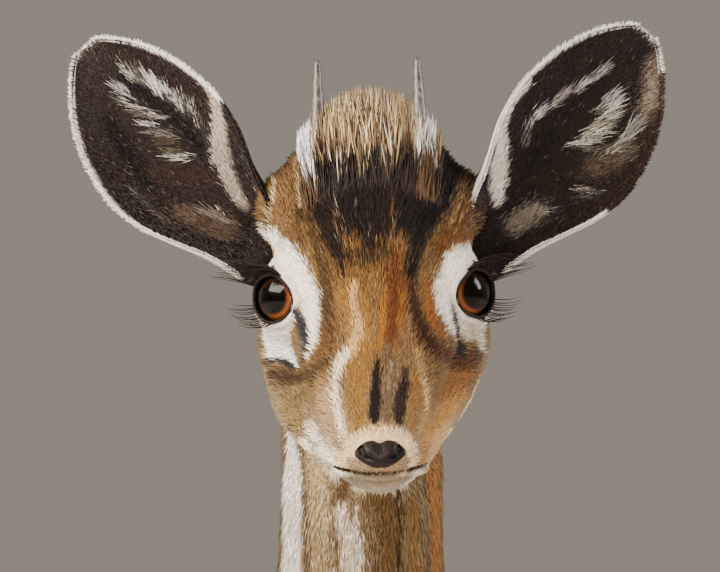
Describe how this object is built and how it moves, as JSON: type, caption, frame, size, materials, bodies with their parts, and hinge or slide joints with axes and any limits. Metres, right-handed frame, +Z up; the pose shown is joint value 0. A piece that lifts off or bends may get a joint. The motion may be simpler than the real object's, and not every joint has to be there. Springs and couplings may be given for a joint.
{
  "type": "dik-dik",
  "caption": "Life-size standing dwarf antelope with large cupped ears, short straight horns and an upright tuft on its crown, head held up and looking ahead.",
  "frame": {"origin": "on the floor, under the middle of the bounding box", "axes": "+Z up, the animal faces -Y, its left side is +X"},
  "size_m": [0.1741, 0.4856, 0.5495],
  "materials": {
    "coat": "short grizzled tawny fur",
    "ear_coat": "thin dark fur with a pale rim",
    "horn": "ringed keratin",
    "hoof": "smooth keratin",
    "nose": "moist pebbled skin",
    "eye": "wet and glossy"
  },
  "bodies": {
    "root": {"head": "coat", "jaw": "coat", "nose": "nose", "neck": "coat", "torso": "coat", "tail": "coat", "eye_left": "eye", "eye_right": "eye", "ear_left": "ear_coat", "ear_right": "ear_coat", "horn_left": "horn", "horn_right": "horn", "foreleg_left": "coat", "foreleg_right": "coat", "hindleg_left": "coat", "hindleg_right": "coat", "hoof_fore_left_outer": "hoof", "hoof_fore_left_inner": "hoof", "hoof_fore_right_outer": "hoof", "hoof_fore_right_inner": "hoof", "hoof_hind_left_outer": "hoof", "hoof_hind_left_inner": "hoof", "hoof_hind_right_outer": "hoof", "hoof_hind_right_inner": "hoof", "dewclaw_fore_left_outer": "hoof", "dewclaw_fore_left_inner": "hoof", "dewclaw_fore_right_outer": "hoof", "dewclaw_fore_right_inner": "hoof", "dewclaw_hind_left_outer": "hoof", "dewclaw_hind_left_inner": "hoof", "dewclaw_hind_right_outer": "hoof", "dewclaw_hind_right_inner": "hoof"}
  },
  "joints": []
}
